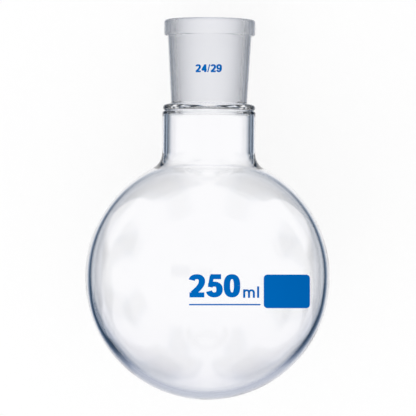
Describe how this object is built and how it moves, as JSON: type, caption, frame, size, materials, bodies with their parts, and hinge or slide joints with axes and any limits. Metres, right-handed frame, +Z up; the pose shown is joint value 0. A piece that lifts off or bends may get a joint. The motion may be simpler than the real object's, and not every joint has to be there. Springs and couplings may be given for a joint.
{
  "type": "round-bottom flask",
  "caption": "Round-bottom flask of clear glass with a short neck, a bead of fused glass and a rimmed, ground conical socket, lying on its bulb and rim.",
  "frame": {"origin": "on the bench, under the middle of the flask's length", "axes": "+Z up; the mouth points along +Y and dips by 18 degrees; the printed front faces up"},
  "size_m": [0.085, 0.1322, 0.085],
  "materials": {
    "borosilicate_glass": "clear, fire-polished, with a ground inner cone",
    "fired_enamel": "blue print fired onto the glass"
  },
  "bodies": {
    "root": {"flask": "borosilicate_glass"}
  },
  "joints": []
}
